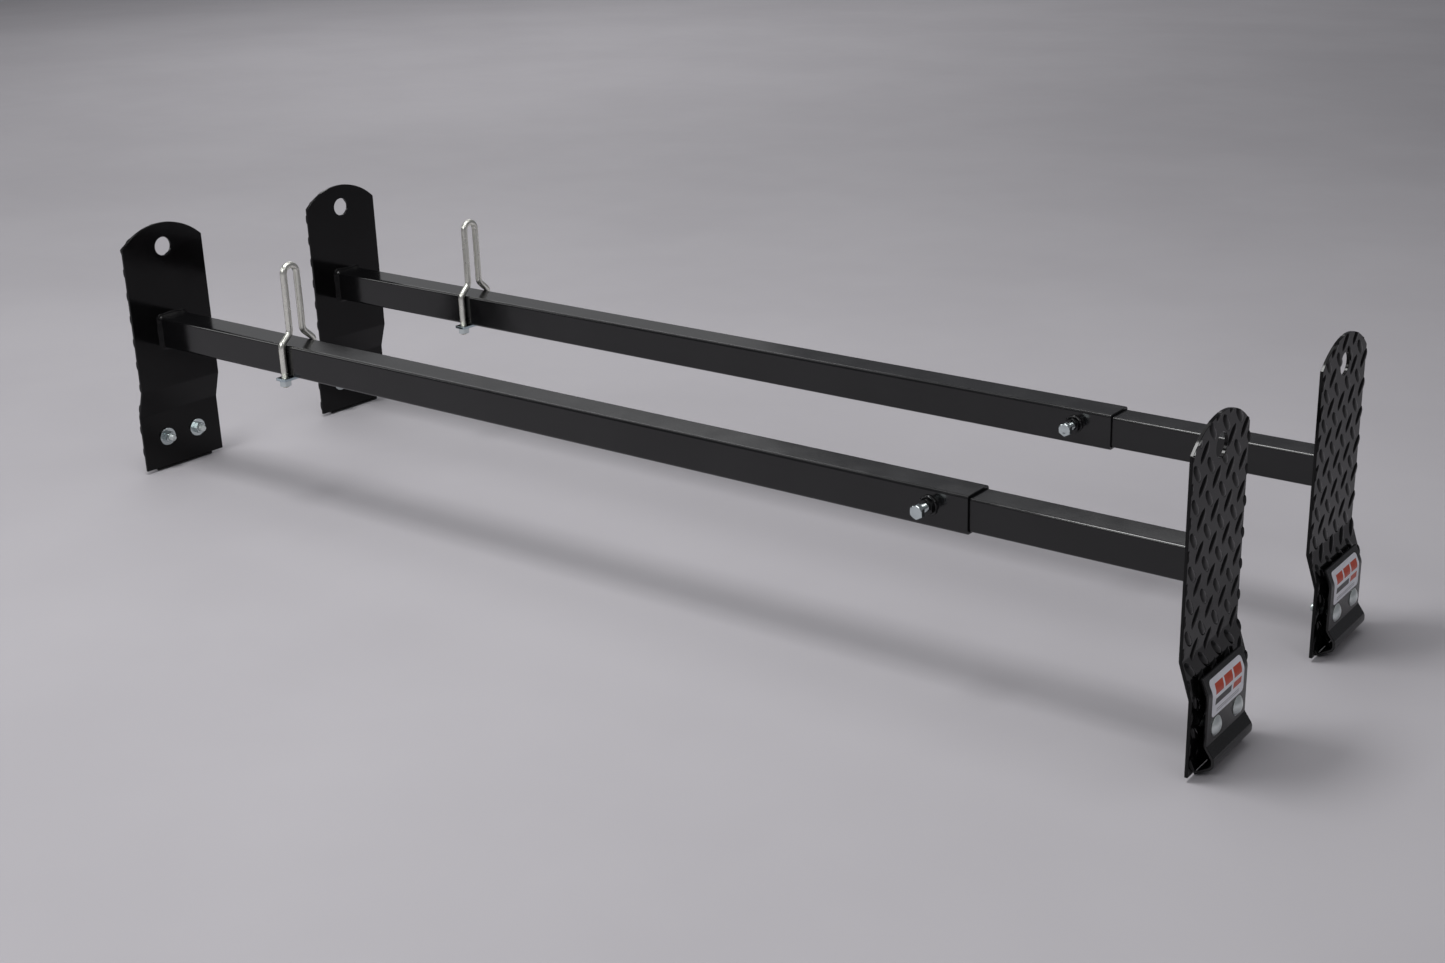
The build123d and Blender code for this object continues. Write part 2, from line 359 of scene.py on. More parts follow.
def carriage_bolt(y, hand):
    """Domed head outside the clamp, square neck, and a shank that is threaded where it shows."""
    ball_r = (DOME_R**2 + DOME_H**2) / (2 * DOME_H)
    lip = 0.5
    rise = DOME_H - lip

    steps = 10
    top = math.asin((DOME_R - 0.2) / ball_r)
    squash = rise / (ball_r * (1 - math.cos(top)))
    dome = [(DOME_R - 0.3, 0), (DOME_R, 0.2), (DOME_R - 0.05, lip)]
    for k in range(steps + 1):
        a = top * (1 - k / steps)
        height = ball_r * (math.cos(a) - math.cos(top)) * squash
        dome.append((max(0.05, ball_r * math.sin(a)), lip + height))
    head = turned(lambda angle: dome, closed=False)
    head = moved(head, facing((CLAMP_FACE_X, y, BOLT_Z), (1, 0, 0)))
    corners = rounded_rectangle(NECK_AF, NECK_AF, 0.6)
    neck = skin([[(CLAMP_FACE_X - depth, y + a, BOLT_Z + b) for a, b in corners] for depth in (0, NECK_L)])
    thread = threaded_rod(BOLT_LENGTH - NECK_L, hand)
    shank = moved(thread, facing((CLAMP_FACE_X - NECK_L, y, BOLT_Z), (-1, 0, 0)))
    return joined(head, neck, shank)


def strip(path, thickness, width, edge=0.5):
    """A strip bent along a mid-thickness path in the XZ plane, with rounded edges and eased ends."""
    ends = [(0.0, edge), (edge * 0.3, edge * 0.3), (edge, 0.0)]
    stations = [(s, inset) for s, inset in ends]
    stations += [(s, 0.0) for s in path.stations() if edge < s < path.length - edge]
    stations += [(path.length - s, inset) for s, inset in reversed(ends)]
    rings = []
    for s, inset in stations:
        section = rounded_rectangle(width - 2 * inset, thickness - 2 * inset, max(0.1, edge - inset * 0.6))
        ring = []
        for y, t in section:
            x, z = path.at(s, t)
            ring.append((x, y, z))
        rings.append(ring)
    return skin(rings)


def square_tube(size, wall, corner_r, x0, x1):
    """A square tube along x, open at both ends, with its cut ends eased."""
    steps = 6
    ease = 0.35
    hollow = size - 2 * wall
    hollow_r = max(corner_r - wall, 0.5)
    rings = []
    outside = [(x0, ease), (x0 + ease, 0.0), (x1 - ease, 0.0), (x1, ease)]
    for x, inset in outside:
        section = rounded_rectangle(size - 2 * inset, size - 2 * inset, corner_r - inset, steps)
        rings.append([(x, y, TUBE_Z + z) for y, z in section])
    for x in (x1, x0):
        section = rounded_rectangle(hollow, hollow, hollow_r, steps)
        rings.append([(x, y, TUBE_Z + z) for y, z in section])
    return skin(rings, closed=True)


def weld_bead(size, corner_r, seed):
    """Fillet weld round a square tube: overlapping ripples between the plate and the tube."""
    across = 8
    ripple = 1.9
    step = 0.45
    overlap = 0.5
    core = rounded_rectangle(size, size, corner_r, 8)
    perimeter = resampled(core, step)
    rings = []
    for k, ((y, z), (ny, nz)) in enumerate(perimeter):
        wave = abs(math.sin(math.pi * k * step / ripple))
        drift = noise.noise(Vector((y * 0.08, z * 0.08, seed)))
        leg = WELD_LEG * min(1.0, 0.74 + 0.15 * wave + 0.26 * drift)
        inside = (y - ny * overlap, TUBE_Z + z - nz * overlap)
        ring = [(0.0, *inside), (0.0, y + ny * leg, TUBE_Z + z + nz * leg)]
        for m in range(1, across):
            a = math.pi / 2 * m / across
            bulge = 0.92 * (0.80 + 0.16 * wave)
            out = leg * (1 - math.sin(a) * bulge)
            up = leg * (1 - math.cos(a) * bulge)
            ring.append((-up, y + ny * out, TUBE_Z + z + nz * out))
        ring.append((-leg, y + ny * 0.02, TUBE_Z + z + nz * 0.02))
        ring.append((-leg, *inside))
        rings.append(ring)
    return skin(rings, closed=True)


def resampled(points, step):
    """Points at equal steps round a closed outline, each with its outward normal."""
    count = len(points)
    lengths = [math.dist(points[i], points[(i + 1) % count]) for i in range(count)]
    total = sum(lengths)
    number = round(total / step)
    found, i, walked = [], 0, 0.0
    for n in range(number):
        target = total * n / number
        while walked + lengths[i] < target:
            walked += lengths[i]
            i += 1
        (y0, z0), (y1, z1) = points[i], points[(i + 1) % count]
        share = (target - walked) / lengths[i] if lengths[i] else 0.0
        normal = Vector((z1 - z0, y0 - y1))
        normal = normal.normalized() if normal.length else Vector((1, 0))
        found.append(((y0 + (y1 - y0) * share, z0 + (z1 - z0) * share), tuple(normal)))
    return found


def flat_blank(outline, holes, levels):
    """A filled outline with holes, in (y, s) with t = 0, cut across at the given levels of s."""
    bm = bmesh.new()
    edges = []
    for loop in [outline, *holes]:
        verts = [bm.verts.new((y, s, 0.0)) for y, s in loop]
        edges += [bm.edges.new((a, b)) for a, b in zip(verts, verts[1:] + verts[:1])]
    bmesh.ops.triangle_fill(bm, edges=edges, use_beauty=True)
    for level in levels:
        everything = bm.verts[:] + bm.edges[:] + bm.faces[:]
        bmesh.ops.bisect_plane(bm, geom=everything, plane_co=(0, level, 0), plane_no=(0, 1, 0))
    return bm


def bent_sheet(outline, holes, path, t0, t1):
    """A flat blank from offset t0 to t1, bent along a path. Its points keep their (y, s) as a UV."""
    bm = flat_blank(outline, holes, path.stations()[1:-1])
    made = bmesh.ops.extrude_face_region(bm, geom=bm.faces[:])
    top = [v for v in made["geom"] if isinstance(v, bmesh.types.BMVert)]
    uv = bm.loops.layers.uv.new("flat")
    for v in bm.verts:
        v.co.z = t0
    for v in top:
        v.co.z = t1
    ys = [y for y, _ in outline]
    ss = [s for _, s in outline]
    for face in bm.faces:
        for loop in face.loops:
            y, s, _ = loop.vert.co
            loop[uv].uv = ((y - min(ys)) / (max(ys) - min(ys)), (s - min(ss)) / (max(ss) - min(ss)))
    for v in bm.verts:
        y, s, t = v.co
        x, z = path.at(s, t)
        v.co = (x, y, z)
    return bm


def circle(y, s, radius, steps=40):
    """Points of a circle in (y, s)."""
    angles = [TAU * k / steps for k in range(steps)]
    return [(y + radius * math.cos(a), s + radius * math.sin(a)) for a in angles]


PLATE_PATH = BentPath(
    [
        (PLATE_T / 2 + JOGGLE, PLATE_BOTTOM),
        (PLATE_T / 2 + JOGGLE, JOGGLE_END_Z),
        (PLATE_T / 2, JOGGLE_TOP_Z),
        (PLATE_T / 2, PLATE_TOP),
    ],
    [PLATE_BEND_R, PLATE_BEND_R],
)
STRAP_PATH = BentPath(CLAMP_PATH, CLAMP_BEND_R)
ARCH_RISE = PLATE_TOP - SHOULDER_Z
ARCH_R = ((PLATE_W / 2) ** 2 + ARCH_RISE**2) / (2 * ARCH_RISE)


def plate_s(z):
    """The length along the plate's path for a height on its upper part."""
    return PLATE_PATH.length - (PLATE_TOP - z)


def plate_outline():
    """The end plate's flat outline: straight sides, sharp shoulders and an arched top."""
    half = PLATE_W / 2
    centre_s = PLATE_PATH.length - ARCH_R
    swing = math.asin(half / ARCH_R)
    steps = 36
    points = [(-half, 0.0), (half, 0.0)]
    for k in range(steps + 1):
        a = swing * (1 - 2 * k / steps)
        points.append((ARCH_R * math.sin(a), centre_s + ARCH_R * math.cos(a)))
    return points


def lug_shape():
    """One raised lug about the origin: a long lens with a rounded crown, sunk a little at its rim."""
    along, across = 12, 6
    rows = []
    for i in range(along + 1):
        u = -1 + 2 * i / along
        half = LUG_WIDTH / 2 * max(0.12, (1 - abs(u) ** 2.4)) ** 0.6
        row = []
        for j in range(across + 1):
            v = -1 + 2 * j / across
            crown = max(0.0, 1 - abs(u) ** 3.5) * max(0.0, 1 - abs(v) ** 3.2)
            row.append((u * LUG_LENGTH / 2, v * half, LUG_HEIGHT * crown - LUG_SINK))
        rows.append(row)
    return rows


def clip_lug(bm, planes):
    """Cut a lug back to the plate's outline, and close the cuts."""
    for point, normal in planes:
        everything = bm.verts[:] + bm.edges[:] + bm.faces[:]
        bmesh.ops.bisect_plane(bm, geom=everything, plane_co=point, plane_no=normal, clear_outer=True)
        rim = [e for e in bm.edges if e.is_boundary]
        if rim:
            bmesh.ops.holes_fill(bm, edges=rim, sides=0)


def lug_bmesh(y, s, tilt):
    """A closed lug in (y, s, t), standing on the plate's outer face."""
    rows = lug_shape()
    bm = bmesh.new()
    place = Matrix.Translation((y, s, PLATE_T / 2)) @ Matrix.Rotation(tilt, 4, "Z")
    grid = [[bm.verts.new(place @ Vector(p)) for p in row] for row in rows]
    floor = [[bm.verts.new(place @ Vector((p[0], p[1], -LUG_ROOT))) for p in row] for row in rows]
    for i in range(len(grid) - 1):
        for j in range(len(grid[0]) - 1):
            bm.faces.new((grid[i][j], grid[i + 1][j], grid[i + 1][j + 1], grid[i][j + 1]))
            bm.faces.new((floor[i][j], floor[i][j + 1], floor[i + 1][j + 1], floor[i + 1][j]))
    last_i, last_j = len(grid) - 1, len(grid[0]) - 1
    border = [(i, 0) for i in range(last_i)] + [(last_i, j) for j in range(last_j)]
    border += [(i, last_j) for i in range(last_i, 0, -1)] + [(0, j) for j in range(last_j, 0, -1)]
    for (i, j), (k, m) in zip(border, border[1:] + border[:1]):
        bm.faces.new((grid[i][j], floor[i][j], floor[k][m], grid[k][m]))
    return bm


def lug_planes(y, s):
    """Planes that keep a lug at (y, s) inside the plate's outline and out of its holes."""
    half = PLATE_W / 2
    planes = [((half, 0, 0), (1, 0, 0)), ((-half, 0, 0), (-1, 0, 0)), ((0, 0, 0), (0, -1, 0))]
    centre_s = PLATE_PATH.length - ARCH_R
    for shift in (-7, 0, 7):
        a = math.atan2(y + shift, s - centre_s)
        reach = ARCH_R - LUG_MARGIN
        rim = (reach * math.sin(a), centre_s + reach * math.cos(a), 0)
        if s > plate_s(SHOULDER_Z) - LUG_LENGTH:
            planes.append((rim, (math.sin(a), math.cos(a), 0)))
    hole = Vector((0.0, plate_s(TIE_HOLE_Z)))
    away = Vector((y, s)) - hole
    if 0 < away.length < TIE_HOLE_R + LUG_LENGTH / 2:
        edge = hole + away.normalized() * (TIE_HOLE_R + 0.3)
        planes.append(((edge.x, edge.y, 0), (-away.x, -away.y, 0)))
    return planes


def plate_lugs(bar):
    """All lugs of one end plate: rising and falling ones alternate on a centred grid."""
    rising_y, rising_z = LUG_START[bar]
    shells = []
    for falling in (0, 1):
        for i in range(-5, 6):
            for n in range(-2, 13):
                y = rising_y + (i - falling / 2) * LUG_PITCH_Y
                s = plate_s(rising_z) - (n - falling / 2) * LUG_PITCH_S
                if abs(y) > PLATE_W / 2 + LUG_WIDTH or not -4 < s < PLATE_PATH.length + 4:
                    continue
                if math.hypot(y, s - plate_s(TIE_HOLE_Z)) < TIE_HOLE_R + 1:
                    continue
                bm = lug_bmesh(y, s, -LUG_TILT if falling else LUG_TILT)
                clip_lug(bm, lug_planes(y, s))
                bm.verts.index_update()
                verts = []
                for v in bm.verts:
                    x, z = PLATE_PATH.at(v.co.y, v.co.z)
                    verts.append((x, v.co.x, z))
                shells.append((verts, [tuple(v.index for v in f.verts) for f in bm.faces]))
                bm.free()
    return joined(*[shell for shell in shells if shell[1]])


def stop_rod():
    """Bent rod of a ladder stop: narrow loop, kicked-out legs and threaded ends, in (x, y, z)."""
    low, high = STOP_KICK_Z
    leg = [(-STOP_LEG_Y, STOP_ROD_END_Z + STOP_THREAD_L), (-STOP_LEG_Y, low), (-STOP_LOOP_R, high)]
    crown = STOP_LOOP_Z + STOP_LOOP_R
    corners = [(-STOP_LOOP_R, crown), (STOP_LOOP_R, crown)]
    back = [(-y, z) for y, z in reversed(leg)]
    kicks = [STOP_KICK_R] * 2
    quarters = [STOP_LOOP_R - 0.01] * 2
    path = BentPath(leg + corners + back, kicks + quarters + kicks)
    segments = 24
    rings = []
    for s in path.stations():
        ring = []
        for k in range(segments):
            a = TAU * k / segments
            y, z = path.at(s, SHANK_R * math.cos(a))
            ring.append((SHANK_R * math.sin(a), y, z))
        rings.append(ring)
    bent = skin(rings)
    ends = []
    overlap = 0.1
    for y in (-STOP_LEG_Y, STOP_LEG_Y):
        start = (0, y, STOP_ROD_END_Z + STOP_THREAD_L + overlap)
        ends.append(moved(threaded_rod(STOP_THREAD_L + 2 * overlap), facing(start, (0, 0, -1), (1, 0, 0))))
    return joined(bent, *ends)


def stop_strap():
    """Strap under the tube, with two holes for the rod's legs, as a bent sheet that lies flat."""
    middle_z = STRAP_TOP_Z - STRAP_T / 2
    lying = BentPath([(-STRAP_X / 2, middle_z), (STRAP_X / 2, middle_z)], [])
    outline = [(y, s + STRAP_X / 2) for y, s in rounded_rectangle(STRAP_Y, STRAP_X, 2.0)]
    holes = [circle(y, STRAP_X / 2, BOLT_HOLE_R) for y in (-STOP_LEG_Y, STOP_LEG_Y)]
    return bent_sheet(outline, holes, lying, -STRAP_T / 2, STRAP_T / 2)


def stop_nuts():
    """The two nuts under a ladder stop's strap."""
    turns = (0.35, 0.9)
    shells = []
    for y, turn in zip((-STOP_LEG_Y, STOP_LEG_Y), turns):
        up = (math.cos(turn), math.sin(turn), 0)
        shells.append(moved(hex_nut(), facing((0, y, STRAP_BOTTOM_Z), (0, 0, -1), up)))
    return joined(*shells)


def spatter(seed):
    """Lumpy ring of weld round the nut of the set screw, on the tube's front face, about y = 0."""
    around, across = 56, 7
    rings = []
    for k in range(around):
        a = TAU * k / around
        lump = noise.noise(Vector((math.cos(a) * 1.6, math.sin(a) * 1.6, seed)))
        width = 2.3 + 1.7 * lump
        height = 2.4 + 1.6 * lump
        inner = WELD_NUT_AF / 2 - 0.6
        ring = []
        for m in range(across + 1):
            b = math.pi * m / across
            r = inner + (width + 1.2) * (1 - math.cos(b)) / 2
            ring.append((r * math.cos(a), r * math.sin(a), height * math.sin(b) ** 0.8 - 0.1))
        rings.append(ring)
    return skin(rings, closed=True)


# --- Materials --------------------------------------------------------------------------------

class Nodes:
    """A small helper round a material's node tree."""

    def __init__(self, name):
        self.material = bpy.data.materials.new(name)
        self.material.use_nodes = True
        self.tree = self.material.node_tree
        self.shader = self.tree.nodes["Principled BSDF"]
        self.place = self.add("ShaderNodeTexCoord").outputs["Object"]

    def add(self, kind, **values):
        node = self.tree.nodes.new(kind)
        for key, value in values.items():
            setattr(node, key, value)
        return node

    def link(self, source, target):
        self.tree.links.new(source, target)

    def noise(self, scale, detail=3.0, roughness=0.55, place=None, stretch=None):
        place = place or self.place
        if stretch:
            mapping = self.add("ShaderNodeMapping")
            mapping.inputs["Scale"].default_value = stretch
            self.link(place, mapping.inputs["Vector"])
            place = mapping.outputs["Vector"]
        node = self.add("ShaderNodeTexNoise")
        node.inputs["Scale"].default_value = scale
        node.inputs["Detail"].default_value = detail
        node.inputs["Roughness"].default_value = roughness
        self.link(place, node.inputs["Vector"])
        return node.outputs["Fac"]

    def range(self, value, low, high, to_low=0.0, to_high=1.0, smooth=True):
        node = self.add("ShaderNodeMapRange")
        node.interpolation_type = "SMOOTHSTEP" if smooth else "LINEAR"
        for key, number in (("From Min", low), ("From Max", high), ("To Min", to_low), ("To Max", to_high)):
            node.inputs[key].default_value = number
        self.link(value, node.inputs["Value"])
        return node.outputs["Result"]

    def math(self, operation, a, b=0.0):
        node = self.add("ShaderNodeMath", operation=operation)
        for socket, value in zip(node.inputs, (a, b)):
            if isinstance(value, (int, float)):
                socket.default_value = value
            else:
                self.link(value, socket)
        return node.outputs[0]

    def mix(self, share, a, b):
        node = self.add("ShaderNodeMix", data_type="RGBA")
        self.link(share, node.inputs["Factor"])
        for socket, value in ((node.inputs[6], a), (node.inputs[7], b)):
            if isinstance(value, tuple):
                socket.default_value = (*value, 1.0)
            else:
                self.link(value, socket)
        return node.outputs[2]

    def bump(self, height, distance, strength=1.0, normal=None):
        node = self.add("ShaderNodeBump")
        node.inputs["Strength"].default_value = strength
        node.inputs["Distance"].default_value = distance
        self.link(height, node.inputs["Height"])
        if normal:
            self.link(normal, node.inputs["Normal"])
        return node.outputs["Normal"]

    def set(self, **values):
        for key, value in values.items():
            socket = self.shader.inputs[key.replace("_", " ")]
            if isinstance(value, bpy.types.NodeSocket):
                self.link(value, socket)
            elif isinstance(value, tuple):
                socket.default_value = (*value, 1.0)
            else:
                socket.default_value = value


def black_paint(name, deep, pale, rough, peel, level):
    """Gloss black powder coat: faint colour drift, fine orange peel, a few rubbed spots and scratches."""
    n = Nodes(name)
    drift = n.range(n.noise(9, 4), 0.35, 0.7)
    rubbed = n.range(n.noise(38, 6, 0.7), 0.68, 0.80)
    scratch = n.range(n.noise(60, 3, 0.6, stretch=(0.25, 9.0, 3.0)), 0.72, 0.78)
    colour = n.mix(drift, deep, pale)
    colour = n.mix(n.math("MULTIPLY", rubbed, 0.12), colour, (0.030, 0.030, 0.031))
    colour = n.mix(n.math("MULTIPLY", scratch, 0.07), colour, (0.060, 0.060, 0.062))
    gloss = n.range(n.noise(25, 5), 0.3, 0.7, rough - 0.025, rough + 0.035)
    gloss = n.math("ADD", gloss, n.math("MULTIPLY", rubbed, 0.06))
    normal = n.bump(n.noise(55, 2, 0.4), 0.0002, 0.22)
    normal = n.bump(n.noise(620, 2, 0.4), 0.00003, peel, normal)
    n.set(Base_Color=colour, Roughness=gloss, Normal=normal, Specular_IOR_Level=level)
    return n.material


def zinc(name, tint, rough):
    """Bright zinc plate: soft clouding, a few hazy stains and a very fine grain."""
    n = Nodes(name)
    crystals = n.add("ShaderNodeTexVoronoi")
    crystals.inputs["Scale"].default_value = 900
    n.link(n.place, crystals.inputs["Vector"])
    cloudy = n.range(n.noise(110, 4, 0.5), 0.3, 0.72)
    stain = n.range(n.noise(60, 4, 0.6), 0.60, 0.80)
    pale = tuple(min(1.0, c * 1.06) for c in tint)
    dull = tuple(c * 0.84 for c in tint)
    colour = n.mix(cloudy, tint, pale)
    colour = n.mix(n.math("MULTIPLY", stain, 0.4), colour, dull)
    gloss = n.range(n.noise(180, 3), 0.25, 0.75, rough - 0.03, rough + 0.05)
    normal = n.bump(crystals.outputs["Distance"], 0.000008, 0.12)
    normal = n.bump(n.noise(1500, 2), 0.000006, 0.12, normal)
    n.set(Base_Color=colour, Metallic=1.0, Roughness=gloss, Normal=normal)
    return n.material


# The label's print, as (left, right, bottom, top) shares of the film
WARM_INK = (0.58, 0.055, 0.012)
DARK_INK = (0.025, 0.023, 0.025)
GREY_INK = (0.22, 0.22, 0.24)
LABEL_LEAN = 0.10
LABEL_BLOCKS = (
    ((0.04, 0.86, 0.58, 0.84), WARM_INK),
    ((0.06, 0.56, 0.30, 0.47), DARK_INK),
    ((0.62, 0.88, 0.30, 0.47), WARM_INK),
)
LABEL_SLITS = ((0.283, 0.328, 0.55, 0.87), (0.572, 0.617, 0.55, 0.87))
LABEL_LINES = ((0.14, 0.86, 0.09, 0.11), (0.14, 0.86, 0.145, 0.165))


def label_print(name):
    """Satin label film with a plain print: warm blocks, one dark bar and two fine grey lines."""
    n = Nodes(name)
    split = n.add("ShaderNodeSeparateXYZ")
    uv = n.add("ShaderNodeUVMap", uv_map="flat")
    n.link(uv.outputs["UV"], split.inputs["Vector"])
    u, v = split.outputs["X"], split.outputs["Y"]

    def band(value, low, high, soft=0.004):
        inside = n.range(value, low - soft, low + soft)
        outside = n.range(value, high - soft, high + soft)
        return n.math("SUBTRACT", inside, outside)

    def box(u0, u1, v0, v1, lean=0.0):
        slanted = n.math("SUBTRACT", u, n.math("MULTIPLY", v, lean)) if lean else u
        return n.math("MULTIPLY", band(slanted, u0, u1), band(v, v0, v1))

    film = n.mix(n.range(n.noise(80, 4), 0.3, 0.7), (0.82, 0.82, 0.88), (0.89, 0.89, 0.94))
    colour = film
    for place, ink in LABEL_BLOCKS:
        colour = n.mix(box(*place, LABEL_LEAN), colour, ink)
    for place in LABEL_SLITS:
        colour = n.mix(box(*place, LABEL_LEAN), colour, film)
    for place in LABEL_LINES:
        colour = n.mix(box(*place), colour, GREY_INK)
    n.set(Base_Color=colour, Roughness=n.range(n.noise(300, 3), 0.3, 0.7, 0.28, 0.42))
    n.set(Normal=n.bump(n.noise(120, 3), 0.00008, 0.3))
    return n.material


def studio_floor(name):
    """Pale seamless paper with a faint unevenness."""
    n = Nodes(name)
    colour = n.mix(n.range(n.noise(1.6, 4), 0.3, 0.7), (0.46, 0.445, 0.47), (0.49, 0.475, 0.50))
    n.set(Base_Color=colour, Roughness=n.range(n.noise(6, 4), 0.3, 0.7, 0.62, 0.75))
    n.set(Normal=n.bump(n.noise(300, 3), 0.0003, 0.1), Specular_IOR_Level=0.25)
    return n.material


PAINT_TUBE = black_paint(
    "black_tube_paint", (0.0035, 0.0035, 0.0038), (0.006, 0.006, 0.0065),
    rough=0.15, peel=0.35, level=0.5)
PAINT_PLATE = black_paint(
    "black_plate_paint", (0.0020, 0.0018, 0.0020), (0.0035, 0.0033, 0.0035),
    rough=0.12, peel=0.35, level=0.22)
PAINT_CLAMP = black_paint(
    "black_clamp_paint", (0.003, 0.003, 0.0032), (0.006, 0.006, 0.0063),
    rough=0.20, peel=0.45, level=0.5)
# Painted shade: the zinc of the nuts, washers and set screws is tinted darker than bare zinc, to paint in the
# black tube's dark reflection and shade.
ZINC_HARDWARE_PAINTED_SHADE = zinc("zinc_hardware_painted_shade", (0.60, 0.66, 0.665), 0.15)
ZINC_SATIN = zinc("zinc_bolt_plate", (0.78, 0.83, 0.82), 0.38)
ZINC_WARM = zinc("zinc_rod_plate", (0.84, 0.84, 0.77), 0.29)
# Painted shade: the strap's zinc is tinted a dark blue-grey, darker than bare zinc, to paint in the shade and
# dark reflection under the tube.
ZINC_STRAP_PAINTED_SHADE = zinc("zinc_strap_painted_shade", (0.46, 0.54, 0.58), 0.16)
LABEL = label_print("label_print")
FLOOR = studio_floor("studio_floor")


# --- Placing the pieces -----------------------------------------------------------------------

def finished(name, mesh, body, material, slot, nodes, bevel=0.0, sharp=32.0):
    """An object for a finished mesh: normals, smoothing, material, and its place in the frame."""
    mesh.materials.append(material)
    mesh.shade_smooth()
    mesh.set_sharp_from_angle(angle=math.radians(sharp))
    obj = bpy.data.objects.new(name, mesh)
    bpy.context.scene.collection.objects.link(obj)
    if bevel:
        edge = obj.modifiers.new("edge", "BEVEL")
        edge.width = bevel * MM
        edge.segments = 2
        edge.limit_method = "ANGLE"
        edge.angle_limit = math.radians(45)
        edge.harden_normals = True
    weighted = obj.modifiers.new("weighted", "WEIGHTED_NORMAL")
    weighted.keep_sharp = True
    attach(obj, body)
    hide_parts(*nodes)
    return obj


def from_shell(name, shell, matrix, body, material, slot, nodes, **looks):
    """An object made from a shell in local millimetres."""
    mesh = bpy.data.meshes.new(name)
    mesh.from_pydata([tuple(matrix @ Vector(v)) for v in shell[0]], [], shell[1])
    bm = bmesh.new()
    bm.from_mesh(mesh)
    bmesh.ops.recalc_face_normals(bm, faces=bm.faces)
    bm.to_mesh(mesh)
    bm.free()
    return finished(name, mesh, body, material, slot, nodes, **looks)


def from_bmesh(name, bm, matrix, body, material, slot, nodes, **looks):
    """An object made from a bmesh in local millimetres, which is used up."""
    bm.transform(matrix)
    bmesh.ops.recalc_face_normals(bm, faces=bm.faces)
    mesh = bpy.data.meshes.new(name)
    bm.to_mesh(mesh)
    bm.free()
    return finished(name, mesh, body, material, slot, nodes, **looks)


def add_end(bar, side):
    """Everything at one end of a bar."""
    end = f"{bar}_{side}"
    matrix = end_matrix(bar, side)
    holder = f"{bar}_bar" if side == "left" else f"{bar}_extension"
    clamp_body = f"{end}_clamp"
    hand = -1 if side == "left" else 1

    holes = [circle(0, plate_s(TIE_HOLE_Z), TIE_HOLE_R, 56)]
    holes += [circle(y, BOLT_Z - PLATE_BOTTOM, BOLT_HOLE_R, 24) for y in BOLT_YS]
    plate = bent_sheet(plate_outline(), holes, PLATE_PATH, -PLATE_T / 2, PLATE_T / 2)
    plate_node = [f"{end}_end_plate"]
    from_bmesh(f"{end}_tread_plate", plate, matrix, holder, PAINT_PLATE, BLACK, plate_node, bevel=0.35)
    from_shell(f"{end}_tread_lugs", plate_lugs(bar), matrix, holder, PAINT_PLATE, BLACK, plate_node, sharp=60)

    size, corner = (OUTER_SIZE, OUTER_CORNER_R) if side == "left" else (INNER_SIZE, INNER_CORNER_R)
    seed = BARS.index(bar) * 7.3 + SIDES.index(side) * 3.1
    bead = weld_bead(size, corner, seed)
    from_shell(f"{end}_weld_bead", bead, matrix, holder, PAINT_PLATE, BLACK, [f"{end}_plate_weld"], sharp=70)

    clamp = strip(STRAP_PATH, CLAMP_T, CLAMP_W, edge=0.7)
    from_shell(f"{end}_clamp_strap", clamp, matrix, clamp_body, PAINT_CLAMP, BLACK,
               [f"{end}_gutter_clamp"], sharp=60)
    bolts = joined(*[carriage_bolt(y, hand) for y in BOLT_YS])
    from_shell(f"{end}_bolts", bolts, matrix, clamp_body, ZINC_SATIN, SILVER, [f"{end}_carriage_bolts"])

    washers, nuts = [], []
    for k, y in enumerate(BOLT_YS):
        turn = 0.25 + 0.5 * k + seed
        up = (0, math.sin(turn), math.cos(turn))
        washers.append(moved(washer(), facing((JOGGLE, y, BOLT_Z), (-1, 0, 0))))
        nuts.append(moved(hex_nut(), facing((JOGGLE - WASHER_T, y, BOLT_Z), (-1, 0, 0), up)))
    from_shell(f"{end}_flat_washers", joined(*washers), matrix, holder, ZINC_HARDWARE_PAINTED_SHADE, SILVER,
               [f"{end}_washers"])
    from_shell(f"{end}_hex_nuts", joined(*nuts), matrix, holder, ZINC_HARDWARE_PAINTED_SHADE, SILVER, [f"{end}_nuts"],
               bevel=0.15, sharp=24)
    if side == "right":
        add_label(end, matrix, clamp_body)


def add_label(end, matrix, body):
    """The printed label over the clamp's shoulder."""
    low, high = (STRAP_PATH.find(z) for z in LABEL_Z)
    outline = [(y, s + (low + high) / 2) for y, s in rounded_rectangle(LABEL_W, high - low, LABEL_CORNER_R)]
    gap = 0.02
    film = bent_sheet(outline, [], STRAP_PATH, CLAMP_T / 2 + gap, CLAMP_T / 2 + LABEL_T)
    from_bmesh(f"{end}_label", film, matrix, body, LABEL, FILM, [f"{end}_clamp_label"])


def add_tubes(bar):
    """The outer and inner tube of a bar."""
    for node, body, size, wall, corner in (
        ("outer_tube", "bar", OUTER_SIZE, OUTER_WALL, OUTER_CORNER_R),
        ("inner_tube", "extension", INNER_SIZE, INNER_WALL, INNER_CORNER_R),
    ):
        low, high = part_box(f"{bar}_{node}")
        tube = square_tube(size, wall, corner, low.x / MM, high.x / MM)
        from_shell(f"{bar}_square_{node}", tube, bar_matrix(bar, 0), f"{bar}_{body}", PAINT_TUBE, BLACK,
                   [f"{bar}_{node}"], sharp=40)


